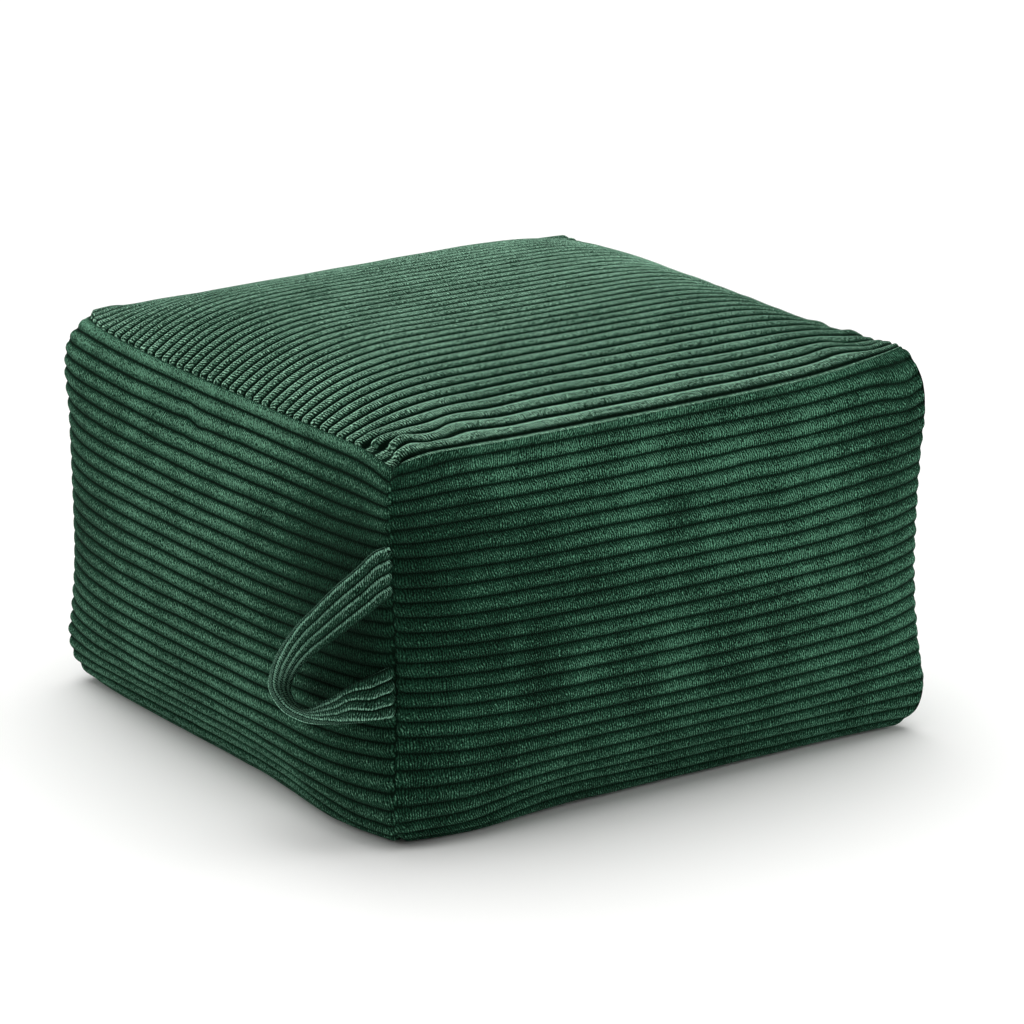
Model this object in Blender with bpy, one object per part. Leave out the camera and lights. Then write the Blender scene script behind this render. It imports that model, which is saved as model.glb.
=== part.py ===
"""A square pouf in wide-ribbed corduroy, filled and sewn shut, with one strap handle.

Metres, +Z up. The origin is on the floor under the middle of the pouf. The front panel
faces -Y and the left panel faces -X. The handle is sewn into the upright seam between them.
"""

import bpy
import bmesh
import numpy as np

# Driving dimensions of the filled body
SEAM_SPAN = 0.451  # from one upright seam to the next
SIDE_BULGE = 0.022  # how far a side panel's middle stands out beyond its upright seams
MIDDLE_CLOTH = 0.298  # cloth height of a side panel at its middle
CORNER_CLOTH = 0.298  # cloth height of a side panel along an upright seam
CROWN = 0.040  # rise of the top panel's middle above its seams
RIBS_PER_SIDE = 27  # ribs from the top seam down to the base seam
RIB_PITCH = MIDDLE_CLOTH / RIBS_PER_SIDE
RIB_HEIGHT = 0.0028
SEAM_DEPTH = 0.0020  # how far a seam is drawn in below the ribs' feet
FIRST_TOP_GROOVE = 0.35  # the cut rib along the front seam, as a share of a whole one
FADE_LENGTH = 0.006  # a rib ends this far before a seam

# Driving dimensions of the handle
STRAP_THICKNESS = 0.0050
STRAP_END_THICKNESS = 0.0030  # pressed flat where it is sewn in
STRAP_RIBS = 4
STRAP_RIB_HEIGHT = 0.0013
STRAP_STATIONS = 48
STRAP_PRESSED_SHARE = 0.08  # the share of its length over which a sewn end thickens
STRAP_EDGE = 0.35  # thickness at its edges, as a share of the whole

# The cloth's lean from upright, in degrees, outward as it climbs: (share of cloth height, lean)
MIDDLE_LEAN = (
    (0.00, 74), (0.06, 22), (0.12, 34), (0.20, 18), (0.35, 4),
    (0.50, 0), (0.65, -6), (0.80, -18), (0.92, -14), (1.00, 9),
)
CORNER_LEAN = (
    (0.00, 75), (0.04, 50), (0.09, 17), (0.18, -7), (0.50, 2),
    (0.82, 4), (0.91, -6), (0.96, -22), (1.00, -55),
)

# The fullness of a panel across its width: 1 in the middle, 0 at the upright seams
TIGHT_SHARE = 0.45
TIGHT_AT_BASE = 0.30  # added at the base seam, so that the base's outline is squarer
TIGHT_AT_TOP = 0.09
END_ZONE = 0.25  # share of the cloth's height over which that change dies out
TIGHT_POWER = 9.0
SOFT_POWER = 2.6
CROWN_POWER_X = 5.7
CROWN_POWER_Y = 3.1

# How unevenly the filling sits, in metres: corner, its side signs in X and Y,
# then its shift (x, y) at the top, its shift (x, y) at the base, and its lift at the top
CORNERS = {
    "front_left": ((-1, -1), (-0.0070, 0.0010), (0.0010, 0.0030), -0.0010),
    "front_right": ((1, -1), (0.0080, 0.0025), (0.0110, -0.0060), 0.0010),
    "back_right": ((1, 1), (0.0010, -0.0090), (0.0000, 0.0000), -0.0030),
    "back_left": ((-1, 1), (0.0080, 0.0035), (-0.0020, -0.0005), 0.0005),
}
# Side: its first and last corner going round, outward direction,
# then its middle's shift outward at the top and at the base, and its lift at the top
SIDES = {
    "front": ("front_left", "front_right", (0, -1), -0.0015, 0.0010, -0.0010),
    "right": ("front_right", "back_right", (1, 0), -0.0100, 0.0000, -0.0045),
    "back": ("back_right", "back_left", (0, 1), -0.0020, 0.0000, -0.0075),
    "left": ("back_left", "front_left", (-1, 0), 0.0040, 0.0050, 0.0000),
}

# Where the filling pushes the cloth out of that even shape, in metres:
# middle of the place (x, y, z), how far it reaches, push (x, y, z)
SOFT_PLACES = {
    "left foot": ((-0.238, -0.150, 0.000), 0.070, (-0.012, 0.000, 0.000)),
    "front foot": ((-0.160, -0.240, 0.000), 0.055, (0.000, -0.009, 0.000)),
    "right front puff": ((0.215, -0.195, 0.285), 0.065, (0.0015, -0.002, 0.006)),
    "left back tuft": ((-0.222, 0.222, 0.290), 0.030, (0.003, -0.002, 0.000)),
}

# Columns of one side panel, as places from its middle (0) to an upright seam (1)
COLUMN_PLACES = (0.0, 0.30, 0.55, 0.72, 0.83, 0.91, 0.96, 0.985)

PROFILE_STEPS = 120
SMALL = 1e-3

# The strap's route, from the upper sewn end to the lower one, in metres:
# (x, y, z) of its outer edge, then of its inner edge
STRAP_ROUTE = (
    ((-0.2276, -0.2251, 0.2215), (-0.2248, -0.2248, 0.1825)),
    ((-0.244, -0.215, 0.218), (-0.231, -0.223, 0.183)),
    ((-0.258, -0.212, 0.211), (-0.237, -0.217, 0.179)),
    ((-0.268, -0.203, 0.197), (-0.243, -0.204, 0.169)),
    ((-0.275, -0.187, 0.182), (-0.248, -0.186, 0.155)),
    ((-0.281, -0.174, 0.165), (-0.251, -0.169, 0.142)),
    ((-0.286, -0.164, 0.147), (-0.254, -0.152, 0.131)),
    ((-0.288, -0.157, 0.127), (-0.256, -0.139, 0.119)),
    ((-0.287, -0.157, 0.112), (-0.257, -0.135, 0.103)),
    ((-0.283, -0.170, 0.101), (-0.257, -0.143, 0.093)),
    ((-0.278, -0.187, 0.096), (-0.255, -0.157, 0.091)),
    ((-0.266, -0.208, 0.098), (-0.250, -0.178, 0.108)),
    ((-0.248, -0.222, 0.100), (-0.242, -0.205, 0.126)),
    ((-0.2206, -0.2214, 0.099), (-0.2217, -0.2218, 0.136)),
)

COLOURS = {"body": (0.016, 0.075, 0.042), "handle": (0.020, 0.088, 0.050)}
CLOTH_ROUGHNESS = 0.9


def remove_everything():
    for old in list(bpy.data.objects):
        bpy.data.objects.remove(old, do_unlink=True)


def cloth_profile(leans, length):
    """Follows the cloth upwards by its lean: (share of height, distance outward, height)."""
    share = np.linspace(0.0, 1.0, PROFILE_STEPS + 1)
    places, angles = zip(*leans)
    lean = np.radians(np.interp(share, places, angles))
    step = length / PROFILE_STEPS
    rise = np.cos(lean) * step
    run = np.sin(lean) * step
    height = np.concatenate([[0.0], np.cumsum((rise[1:] + rise[:-1]) / 2)])
    outward = np.concatenate([[0.0], np.cumsum((run[1:] + run[:-1]) / 2)])
    return share, outward - outward.max(), height


MIDDLE_PROFILE = cloth_profile(MIDDLE_LEAN, MIDDLE_CLOTH)
CORNER_PROFILE = cloth_profile(CORNER_LEAN, CORNER_CLOTH)


def at_height(profile, share):
    """(distance outward, height) of a profile at shares of the cloth's height."""
    return np.interp(share, profile[0], profile[1]), np.interp(share, profile[0], profile[2])


def fullness(across, share):
    place = np.abs(across)
    near_base = np.clip(1 - share / END_ZONE, 0.0, 1.0) ** 2
    near_top = np.clip(1 - (1 - share) / END_ZONE, 0.0, 1.0) ** 2
    tight_share = TIGHT_SHARE + TIGHT_AT_BASE * near_base + TIGHT_AT_TOP * near_top
    tight = 1.0 - place**TIGHT_POWER
    soft = 1.0 - place**SOFT_POWER
    return tight_share * tight + (1.0 - tight_share) * soft


def corner_points(name, share):
    signs, top_shift, base_shift, lift = CORNERS[name]
    outward, height = at_height(CORNER_PROFILE, share)
    reach = SEAM_SPAN / 2 + outward
    x = signs[0] * reach + top_shift[0] * share + base_shift[0] * (1 - share)
    y = signs[1] * reach + top_shift[1] * share + base_shift[1] * (1 - share)
    return np.stack([x, y, height + lift * share], axis=-1)


def side_points(side, across, share):
    """Points of a side panel without its ribs: across from -1 to 1, share from base to top."""
    first, last, outward_way, top_out, base_out, lift = SIDES[side]
    outward_way = np.array([*outward_way, 0.0])
    step = ((across + 1) / 2)[:, None]
    chord = corner_points(first, share) * (1 - step) + corner_points(last, share) * step
    outward, height = at_height(MIDDLE_PROFILE, share)
    reach = SEAM_SPAN / 2 + SIDE_BULGE + outward + top_out * share + base_out * (1 - share)
    full = fullness(across, share)
    points = chord + outward_way * (full * (reach - chord @ outward_way))[:, None]
    points[:, 2] = chord[:, 2] * (1 - full) + (height + lift * share) * full
    return points


def top_points(along, back):
    """Points of the top panel without its ribs: along X and back along Y, both from 0 to 1."""
    along, back = np.broadcast_arrays(np.asarray(along, float), np.asarray(back, float))
    top = np.ones_like(along)
    front_edge = side_points("front", 2 * along - 1, top)
    back_edge = side_points("back", 1 - 2 * along, top)
    left_edge = side_points("left", 1 - 2 * back, top)
    right_edge = side_points("right", 2 * back - 1, top)
    one = np.ones(1)
    front_left, front_right, back_right, back_left = (
        corner_points(name, one)[0] for name in CORNERS
    )
    s = along[:, None]
    v = back[:, None]
    between_edges = (1 - v) * front_edge + v * back_edge + (1 - s) * left_edge + s * right_edge
    between_corners = (
        (1 - s) * (1 - v) * front_left
        + s * (1 - v) * front_right
        + s * v * back_right
        + (1 - s) * v * back_left
    )
    points = between_edges - between_corners
    crown_x = 1 - np.abs(2 * along - 1) ** CROWN_POWER_X
    crown_y = 1 - np.abs(2 * back - 1) ** CROWN_POWER_Y
    points[:, 2] += CROWN * crown_x * crown_y
    return points


def outward_normals(surface, a, b, low, high):
    """Unit normals of surface(a, b), by differences kept between low and high."""
    a_more, a_less = np.minimum(a + SMALL, high), np.maximum(a - SMALL, low)
    b_more, b_less = np.minimum(b + SMALL, 1.0), np.maximum(b - SMALL, 0.0)
    cross = np.cross(surface(a_more, b) - surface(a_less, b), surface(a, b_more) - surface(a, b_less))
    return cross / np.linalg.norm(cross, axis=1)[:, None]


def seam_fade(distance):
    """0 on a seam, 1 where the ribs have their full height."""
    return np.clip(distance / FADE_LENGTH, 0.0, 1.0)


def relief(crest, fade):
    """Height of the cloth over its plain surface: crest is 1 on a rib's crest, 0 in a groove."""
    return crest * fade * RIB_HEIGHT - (1 - fade) * SEAM_DEPTH


def panel_columns():
    inner = [-place for place in reversed(COLUMN_PLACES[1:])] + list(COLUMN_PLACES)
    return np.array([-1.0] + inner)


def rib_rows(length, first_groove):
    """Grooves and crests over a cloth length: (distance, crest), without the two seams."""
    rows = []
    distance = first_groove - RIB_PITCH / 2
    crest = 1.0
    while distance < length - RIB_PITCH / 4:
        if distance > 0:
            rows.append((distance, crest))
        distance += RIB_PITCH / 2
        crest = 1.0 - crest
    return rows


def side_ring(share, crest):
    """One level ring round the four side panels."""
    across = panel_columns()
    heights = np.full(len(across), share)
    points = []
    for side in SIDES:
        plain = side_points(side, across, heights)
        normal = outward_normals(
            lambda a, b, side=side: side_points(side, a, b), across, heights, -1.0, 1.0
        )
        first, last = SIDES[side][:2]
        normal[0] = corner_normal(first)
        fade = seam_fade((1 - np.abs(across)) * SEAM_SPAN / 2)
        points.append(plain + normal * relief(crest, fade)[:, None])
    ring = np.concatenate(points)
    ring[:, 2] = np.maximum(ring[:, 2], 0.0)
    return ring


def corner_normal(name):
    signs = CORNERS[name][0]
    return np.array([signs[0], signs[1], 0.0]) / np.sqrt(2.0)


def top_rows():
    """The top panel's rows from front to back: (place in Y from 0 to 1, crest)."""
    back = np.linspace(0.0, 1.0, PROFILE_STEPS + 1)
    middle = top_points(np.full_like(back, 0.5), back)
    steps = np.linalg.norm(np.diff(middle, axis=0), axis=1)
    length = np.concatenate([[0.0], np.cumsum(steps)])
    rows = rib_rows(length[-1], FIRST_TOP_GROOVE * RIB_PITCH)
    places = [(np.interp(distance, length, back), crest) for distance, crest in rows]
    return [(0.0, 0.0)] + places + [(1.0, 0.0)]


def top_grid():
    """The top panel's points, row by row from front to back, with both edges in each row."""
    along = (np.append(panel_columns(), 1.0) + 1) / 2
    grid = []
    for back, crest in top_rows():
        backs = np.full_like(along, back)
        plain = top_points(along, backs)
        normal = outward_normals(top_points, along, backs, 0.0, 1.0)
        edge = np.minimum(np.minimum(along, 1 - along), min(back, 1 - back))
        fade = seam_fade(edge * SEAM_SPAN)
        grid.append(plain + normal * relief(crest, fade)[:, None])
    return grid


def soft_push(points):
    """How far the uneven filling moves the cloth at each point."""
    push = np.zeros_like(points)
    for middle, reach, way in SOFT_PLACES.values():
        distance = np.linalg.norm(points - np.array(middle), axis=1)
        push += np.exp(-((distance / reach) ** 2))[:, None] * np.array(way)
    return push


def add_row(bm, points):
    return [bm.verts.new(tuple(point)) for point in points + soft_push(points)]


def bridge_rings(bm, lower, upper):
    for i in range(len(lower)):
        j = (i + 1) % len(lower)
        bm.faces.new((lower[i], lower[j], upper[j], upper[i]))


def bridge_rows(bm, lower, upper):
    """Joins two open rows of unlike counts with triangles, always across the shorter side."""
    i = j = 0
    while i < len(lower) - 1 or j < len(upper) - 1:
        across_lower = across_upper = float("inf")
        if i < len(lower) - 1:
            across_lower = (lower[i + 1].co - upper[j].co).length
        if j < len(upper) - 1:
            across_upper = (upper[j + 1].co - lower[i].co).length
        if across_lower <= across_upper:
            bm.faces.new((lower[i], lower[i + 1], upper[j]))
            i += 1
        else:
            bm.faces.new((lower[i], upper[j + 1], upper[j]))
            j += 1


def finish_object(bm, name, collection, material):
    bmesh.ops.recalc_face_normals(bm, faces=bm.faces)
    mesh = bpy.data.meshes.new(name)
    bm.to_mesh(mesh)
    bm.free()
    mesh.shade_smooth()
    mesh.set_sharp_from_angle(angle=np.radians(60))
    mesh.materials.append(material)
    made = bpy.data.objects.new(name, mesh)
    collection.objects.link(made)
    return made


def make_body(collection, material):
    """The filled body: rings of ribs up the sides, the top panel's rows, and a flat base."""
    bm = bmesh.new()
    per_side = len(panel_columns())
    rows = rib_rows(MIDDLE_CLOTH, RIB_PITCH)
    shares = [(1 - distance / MIDDLE_CLOTH, crest) for distance, crest in reversed(rows)]
    rings = [add_row(bm, side_ring(0.0, 0.0))]
    for share, crest in shares:
        rings.append(add_row(bm, side_ring(share, crest)))
    for lower, upper in zip(rings, rings[1:]):
        bridge_rings(bm, lower, upper)
    bm.faces.new(list(reversed(rings[0])))

    grid = [add_row(bm, points) for points in top_grid()]
    for front, behind in zip(grid, grid[1:]):
        for i in range(per_side):
            bm.faces.new((front[i], front[i + 1], behind[i + 1], behind[i]))

    last = rings[-1]
    lower_edges = [last[i * per_side : (i + 1) * per_side + 1] for i in range(4)]
    lower_edges[3].append(last[0])
    upper_edges = [
        grid[0],
        [row[-1] for row in grid],
        list(reversed(grid[-1])),
        [row[0] for row in reversed(grid)],
    ]
    for lower, upper in zip(lower_edges, upper_edges):
        bridge_rows(bm, lower, upper)
    return finish_object(bm, "body", collection, material)


def smooth_route(rows, count):
    """Even stations along a smooth curve through the route's own rows."""
    rows = np.array(rows)
    middles = rows.mean(axis=1)
    steps = np.linalg.norm(np.diff(middles, axis=0), axis=1)
    place = np.concatenate([[0.0], np.cumsum(steps)])
    slope = np.gradient(rows, place, axis=0)
    at = np.linspace(0.0, place[-1], count)
    i = np.clip(np.searchsorted(place, at, side="right") - 1, 0, len(place) - 2)
    width = (place[i + 1] - place[i])[:, None, None]
    t = (at - place[i])[:, None, None] / width
    start = (2 * t**3 - 3 * t**2 + 1) * rows[i] + (t**3 - 2 * t**2 + t) * width * slope[i]
    end = (3 * t**2 - 2 * t**3) * rows[i + 1] + (t**3 - t**2) * width * slope[i + 1]
    return start + end


def strap_outline():
    """The strap's cross-section: (place across from -1 to 1, face, crest)."""
    places = np.linspace(-1.0, 1.0, 2 * STRAP_RIBS + 1)
    crests = [place % 2 for place in range(len(places))]
    outer = [(place, 1.0, crest) for place, crest in zip(places, crests)]
    inner = [(place, -1.0, crest) for place, crest in zip(reversed(places), reversed(crests))]
    return outer + inner


def make_handle(collection, material):
    """The strap: its ribbed cross-section lofted along its route, closed at both sewn ends."""
    stations = smooth_route(STRAP_ROUTE, STRAP_STATIONS)
    middles = stations.mean(axis=1)
    half_widths = (stations[:, 0] - stations[:, 1]) / 2
    tangents = np.gradient(middles, axis=0)
    normals = np.cross(half_widths, tangents)
    normals /= np.linalg.norm(normals, axis=1)[:, None]
    along = np.linspace(0.0, 1.0, STRAP_STATIONS)
    loose = np.clip(np.minimum(along, 1 - along) / STRAP_PRESSED_SHARE, 0.0, 1.0)
    thickness = STRAP_END_THICKNESS + loose * (STRAP_THICKNESS - STRAP_END_THICKNESS)
    bm = bmesh.new()
    rings = []
    for i in range(STRAP_STATIONS):
        ring = []
        for place, face, crest in strap_outline():
            height = thickness[i] / 2 - (1 - crest) * loose[i] * STRAP_RIB_HEIGHT
            if abs(place) == 1.0:
                height = thickness[i] / 2 * STRAP_EDGE
            ring.append(middles[i] + half_widths[i] * place + normals[i] * face * height)
        rings.append([bm.verts.new(tuple(point)) for point in ring])
    for lower, upper in zip(rings, rings[1:]):
        bridge_rings(bm, lower, upper)
    bm.faces.new(list(reversed(rings[0])))
    bm.faces.new(rings[-1])
    return finish_object(bm, "handle", collection, material)


def cloth_material(name):
    material = bpy.data.materials.new(name)
    material.use_nodes = True
    shader = material.node_tree.nodes["Principled BSDF"]
    shader.inputs["Base Color"].default_value = (*COLOURS[name], 1.0)
    shader.inputs["Roughness"].default_value = CLOTH_ROUGHNESS
    shader.inputs["Metallic"].default_value = 0.0
    return material


def main():
    remove_everything()
    collection = bpy.data.collections.new("pouf")
    bpy.context.scene.collection.children.link(collection)
    make_body(collection, cloth_material("body"))
    make_handle(collection, cloth_material("handle"))


main()
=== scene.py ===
"""A square corduroy pouf with one strap handle, dressed over its solids for rendering.

Metres, +Z up, in the frame of the solids. The front panel faces -Y, the left panel -X.
"""

import math

import bpy
import numpy as np
from mathutils import Matrix, Vector


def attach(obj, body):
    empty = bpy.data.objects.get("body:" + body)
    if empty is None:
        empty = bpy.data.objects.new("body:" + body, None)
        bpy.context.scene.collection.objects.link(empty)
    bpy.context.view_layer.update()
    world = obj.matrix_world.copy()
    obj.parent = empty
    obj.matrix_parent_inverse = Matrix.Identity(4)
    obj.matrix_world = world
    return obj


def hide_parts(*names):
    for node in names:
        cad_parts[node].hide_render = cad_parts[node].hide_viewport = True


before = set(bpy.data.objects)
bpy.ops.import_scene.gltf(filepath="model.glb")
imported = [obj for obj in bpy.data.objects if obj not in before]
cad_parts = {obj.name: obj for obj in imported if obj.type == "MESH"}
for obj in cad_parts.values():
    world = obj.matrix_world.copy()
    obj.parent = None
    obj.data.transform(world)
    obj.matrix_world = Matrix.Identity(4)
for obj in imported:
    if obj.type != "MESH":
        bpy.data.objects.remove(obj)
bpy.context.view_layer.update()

# The camera: turned and raised in degrees, then its distance, aim and lens in metres and mm
CAMERA_AZIMUTH = -34.5
CAMERA_ELEVATION = 17.7
CAMERA_DISTANCE = 4.416
CAMERA_AIM_HEIGHT = 0.133
CAMERA_AIM_SIDE = 0.0203
CAMERA_AIM_RISE = 0.01537
CAMERA_LENS = 210.27
CAMERA_SENSOR = 36.0

# The filled body, as its solid has it: in metres, with its leans from upright in degrees, by share of the
# cloth from the base up
SEAM_SPAN = 0.451
SIDE_BULGE = 0.022
MIDDLE_CLOTH = 0.298
CORNER_CLOTH = 0.298
CROWN = 0.040
RIBS_PER_SIDE = 27
RIB_PITCH = MIDDLE_CLOTH / RIBS_PER_SIDE
FIRST_TOP_GROOVE = 0.35

MIDDLE_LEAN = (
    (0.00, 74), (0.06, 22), (0.12, 34), (0.20, 18), (0.35, 4),
    (0.50, 0), (0.65, -6), (0.80, -18), (0.92, -14), (1.00, 9),
)
CORNER_LEAN = (
    (0.00, 75), (0.04, 50), (0.09, 17), (0.18, -7), (0.50, 2),
    (0.82, 4), (0.91, -6), (0.96, -22), (1.00, -55),
)

# How full the cloth is between two seams
TIGHT_SHARE = 0.45
TIGHT_AT_BASE = 0.30
TIGHT_AT_TOP = 0.09
END_ZONE = 0.25
TIGHT_POWER = 9.0
SOFT_POWER = 2.6
CROWN_POWER_X = 5.7
CROWN_POWER_Y = 3.1

# Corners: (signs, shift at the top, shift at the base, lift). Sides: (first and last corner, way out,
# and how much further out at the top and at the base, lift).
CORNERS = {
    "front_left": ((-1, -1), (-0.0070, 0.0010), (0.0010, 0.0030), -0.0010),
    "front_right": ((1, -1), (0.0080, 0.0025), (0.0110, -0.0060), 0.0010),
    "back_right": ((1, 1), (0.0010, -0.0090), (0.0000, 0.0000), -0.0030),
    "back_left": ((-1, 1), (0.0080, 0.0035), (-0.0020, -0.0005), 0.0005),
}
SIDES = {
    "front": ("front_left", "front_right", (0, -1), -0.0015, 0.0010, -0.0010),
    "right": ("front_right", "back_right", (1, 0), -0.0100, 0.0000, -0.0045),
    "back": ("back_right", "back_left", (0, 1), -0.0020, 0.0000, -0.0075),
    "left": ("back_left", "front_left", (-1, 0), 0.0040, 0.0050, 0.0000),
}
# Where filling or a tuck moves the surface: (place, reach, way)
SOFT_PLACES = {
    "left foot": ((-0.238, -0.150, 0.000), 0.070, (-0.012, 0.000, 0.000)),
    "front foot": ((-0.160, -0.240, 0.000), 0.055, (0.000, -0.009, 0.000)),
    "right front puff": ((0.215, -0.195, 0.285), 0.065, (0.0015, -0.002, 0.006)),
    "left back tuft": ((-0.222, 0.222, 0.290), 0.030, (0.003, -0.002, 0.000)),
}

# The two edges of the strap, from its upper end to its lower one
STRAP_ROUTE = (
    ((-0.2293, -0.2241, 0.2259), (-0.2261, -0.2207, 0.1868)),
    ((-0.2372, -0.2192, 0.2227), (-0.2331, -0.2200, 0.1844)),
    ((-0.2529, -0.2156, 0.2107), (-0.2436, -0.2140, 0.1749)),
    ((-0.2641, -0.2057, 0.1968), (-0.2509, -0.2012, 0.1622)),
    ((-0.2713, -0.1906, 0.1791), (-0.2553, -0.1837, 0.1479)),
    ((-0.2775, -0.1771, 0.1631), (-0.2578, -0.1668, 0.1356)),
    ((-0.2834, -0.1666, 0.1449), (-0.2583, -0.1519, 0.1237)),
    ((-0.2859, -0.1586, 0.1267), (-0.2585, -0.1404, 0.1109)),
    ((-0.2859, -0.1571, 0.1138), (-0.2579, -0.1353, 0.1007)),
    ((-0.2842, -0.1683, 0.1034), (-0.2584, -0.1418, 0.0935)),
    ((-0.2793, -0.1850, 0.0989), (-0.2585, -0.1548, 0.0906)),
    ((-0.2671, -0.2068, 0.0992), (-0.2525, -0.1779, 0.1039)),
    ((-0.2486, -0.2200, 0.1001), (-0.2430, -0.2055, 0.1251)),
    ((-0.2226, -0.2181, 0.0979), (-0.2255, -0.2204, 0.1369)),
)

# The cloth's fine surface
RIB_CREST = {"top": 0.0024, "side": 0.0018}  # over the plain surface
RIB_GROOVE = {"top": -0.0009, "side": -0.0006}
RIB_FLATNESS = {"top": (2.6, 0.75), "side": (1.9, 0.90)}  # how square a rib's rounding is
STRAP_FLATNESS = (2.2, 0.8)
RIB_END = {"top": 0.0050, "side": 0.0072}  # a rib rounds off over this length before a seam
RIB_END_LEAST = 0.75  # of that length, for the ribs that end most abruptly
RIB_END_VARIES = 0.5
SEAM_DROP = 0.0024
SWAY = {"top": 0.09, "side": 0.060}  # how far ribs wander, in ribs
SWAY_SCALE = (0.055, 0.45)  # metres along a rib, and turns per rib across
FINE_SWAY_SCALE = (0.022, 0.9)
FINE_SWAY = 0.4
CALM_RIBS = 2.5  # ribs wander less this near a seam
UNEVEN = 0.0003  # how unevenly the ribs are filled
UNEVEN_SCALE = (0.03, 0.7)
FLOOR_GAP = 0.0003

# One rib wraps round the front edge of the top, over the seam: its height there, and over how many ribs
# from the seam its height and its way out are blended with the panel's own
WRAP_HEIGHT = 0.0019
WRAP_REACH = 0.35
WRAP_TURN = 0.9

# The roll along the left panel's top seam: its rise, its swelling, and how far down it fades, in ribs
ROLL_RISE = 0.0030
ROLL_SWELL = 0.0009
ROLL_FADE = 1.5
ROLL_TOP = 0.35  # it rounds off over this part of a rib at the seam
ROLL_TAPER = 0.16  # share of the panel over which it grows from each end

# Ribs of the top that stop short of the left seam in a rounded end: (rib, metres)
SHORT_RIBS = ((1, 0.0075), (2, 0.0120), (3, 0.0060))

# Where the sewn corners are drawn in: (place, reach, way), in metres
DRAWN_PLACES = (
    ((-0.2290, -0.2240, 0.2890), 0.026, (0.0010, 0.0010, -0.0100)),
    ((-0.2240, 0.2270, 0.2880), 0.022, (-0.0010, 0.0000, -0.0060)),
    ((0.2390, -0.2340, 0.2950), 0.030, (-0.0030, 0.0030, -0.0045)),
    ((-0.2350, 0.2200, 0.2650), 0.034, (-0.0030, 0.0030, 0.0000)),
)

# Soft places in the ribs: (metres along, rib, reach along, reach in ribs, how much). Waves move the
# ribs sideways, in ribs, and buds raise or sink them, in metres.
WAVES = {
    "top": (
        (0.028, 2.0, 0.011, 1.5, 0.34), (0.048, 2.4, 0.014, 1.7, -0.26), (0.070, 2.8, 0.016, 2.0, 0.16),
        (0.100, 3.6, 0.018, 2.4, -0.10), (0.428, 3.2, 0.018, 1.6, -0.50), (0.398, 2.4, 0.018, 1.3, 0.32),
        (0.436, 8.0, 0.012, 2.0, 0.34), (0.014, 40.0, 0.012, 1.6, -0.40), (0.030, 41.5, 0.014, 1.6, 0.36),
    ),
    "left": (
        (0.190, 24.4, 0.010, 0.8, 0.15), (0.206, 23.8, 0.010, 0.8, -0.13), (0.410, 2.2, 0.030, 2.4, -0.35),
        (0.330, 1.6, 0.030, 1.8, 0.22),
    ),
    "front": (
        (0.030, 25.6, 0.016, 0.9, -0.20), (0.055, 2.6, 0.030, 2.4, -0.40), (0.290, 22.0, 0.018, 1.4, 0.13),
        (0.432, 24.6, 0.020, 2.2, -0.45), (0.315, 19.0, 0.018, 1.6, -0.12), (0.130, 1.8, 0.040, 1.4, 0.20),
    ),
    "right": (),
    "back": (),
}
BUDS = {
    "top": (
        (0.000, 0.9, 0.0085, 0.9, -0.0040), (0.016, 1.5, 0.0090, 0.46, 0.0036),
        (0.021, 2.5, 0.0095, 0.46, 0.0044), (0.015, 3.5, 0.0090, 0.45, 0.0030),
        (0.013, 4.5, 0.0080, 0.45, 0.0016), (0.036, 2.0, 0.0070, 0.60, -0.0022),
        (0.042, 1.6, 0.0085, 0.50, 0.0017), (0.058, 2.6, 0.0090, 0.50, 0.0015),
        (0.438, 2.5, 0.0090, 0.55, 0.0022), (0.438, 5.5, 0.0080, 0.50, 0.0022),
        (0.440, 8.5, 0.0080, 0.50, 0.0018), (0.415, 4.0, 0.0100, 0.60, -0.0015),
        (0.020, 40.8, 0.0200, 2.0, 0.0026), (0.060, 41.0, 0.0300, 2.5, 0.0024),
        (0.035, 42.4, 0.0060, 0.8, -0.0020),
    ),
    "left": ((0.198, 24.0, 0.007, 0.6, -0.0008),),
    "front": (
        (0.008, 26.0, 0.008, 0.50, 0.0014), (0.008, 24.9, 0.008, 0.45, 0.0010),
        (0.4435, 25.0, 0.0024, 3.2, -0.0018),
    ),
    "right": (),
    "back": (),
}

# Where a panel's ribs crowd together towards a corner: (metres along, rib, reach, reach in ribs, how much)
GATHERS = {
    "top": ((0.0, 0.65, 0.024, 4.5, 0.08), (0.0, 43.5, 0.030, 4.0, 0.35), (0.451, 0.65, 0.034, 5.0, 0.25)),
    "left": ((0.451, 0.0, 0.060, 3.5, 0.40),),
    "front": ((0.0, 0.0, 0.060, 3.5, 0.45),),
    "right": (),
    "back": (),
}

# The grids of the meshes: rows over one rib, and columns in metres from a seam, listed one by one and then
# evenly spaced from a first to a last one, with a gap to those of the middle. Each panel has its count of
# columns in the middle, its count of evenly spaced ones near each seam, and a seed.
RIB_STEPS = (-0.5, -0.47, -0.42, -0.34, -0.22, -0.08, 0.08, 0.22, 0.34, 0.42, 0.47)
LEAST_STEP = 0.02  # of a rib, from the first and last row to the next
SEAM_COLUMNS = (0.0, 0.0006, 0.0015, 0.0027, 0.0042)
CLOSE_COLUMNS = (0.006, 0.065, 0.004)
PANEL_GRIDS = {
    "front": (96, 26, 1), "left": (96, 26, 2), "right": (50, 12, 3), "back": (50, 12, 4), "top": (96, 36, 5),
}
BASE_POINTS = 40  # along each side
BASE_RINGS = (1.0, 0.985, 0.95, 0.8, 0.5, 0.2, 0.0)
BASE_HEIGHT = 0.0004
BASE_OFFSET = 0.3  # keeps its cloth coordinates above 0

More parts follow.
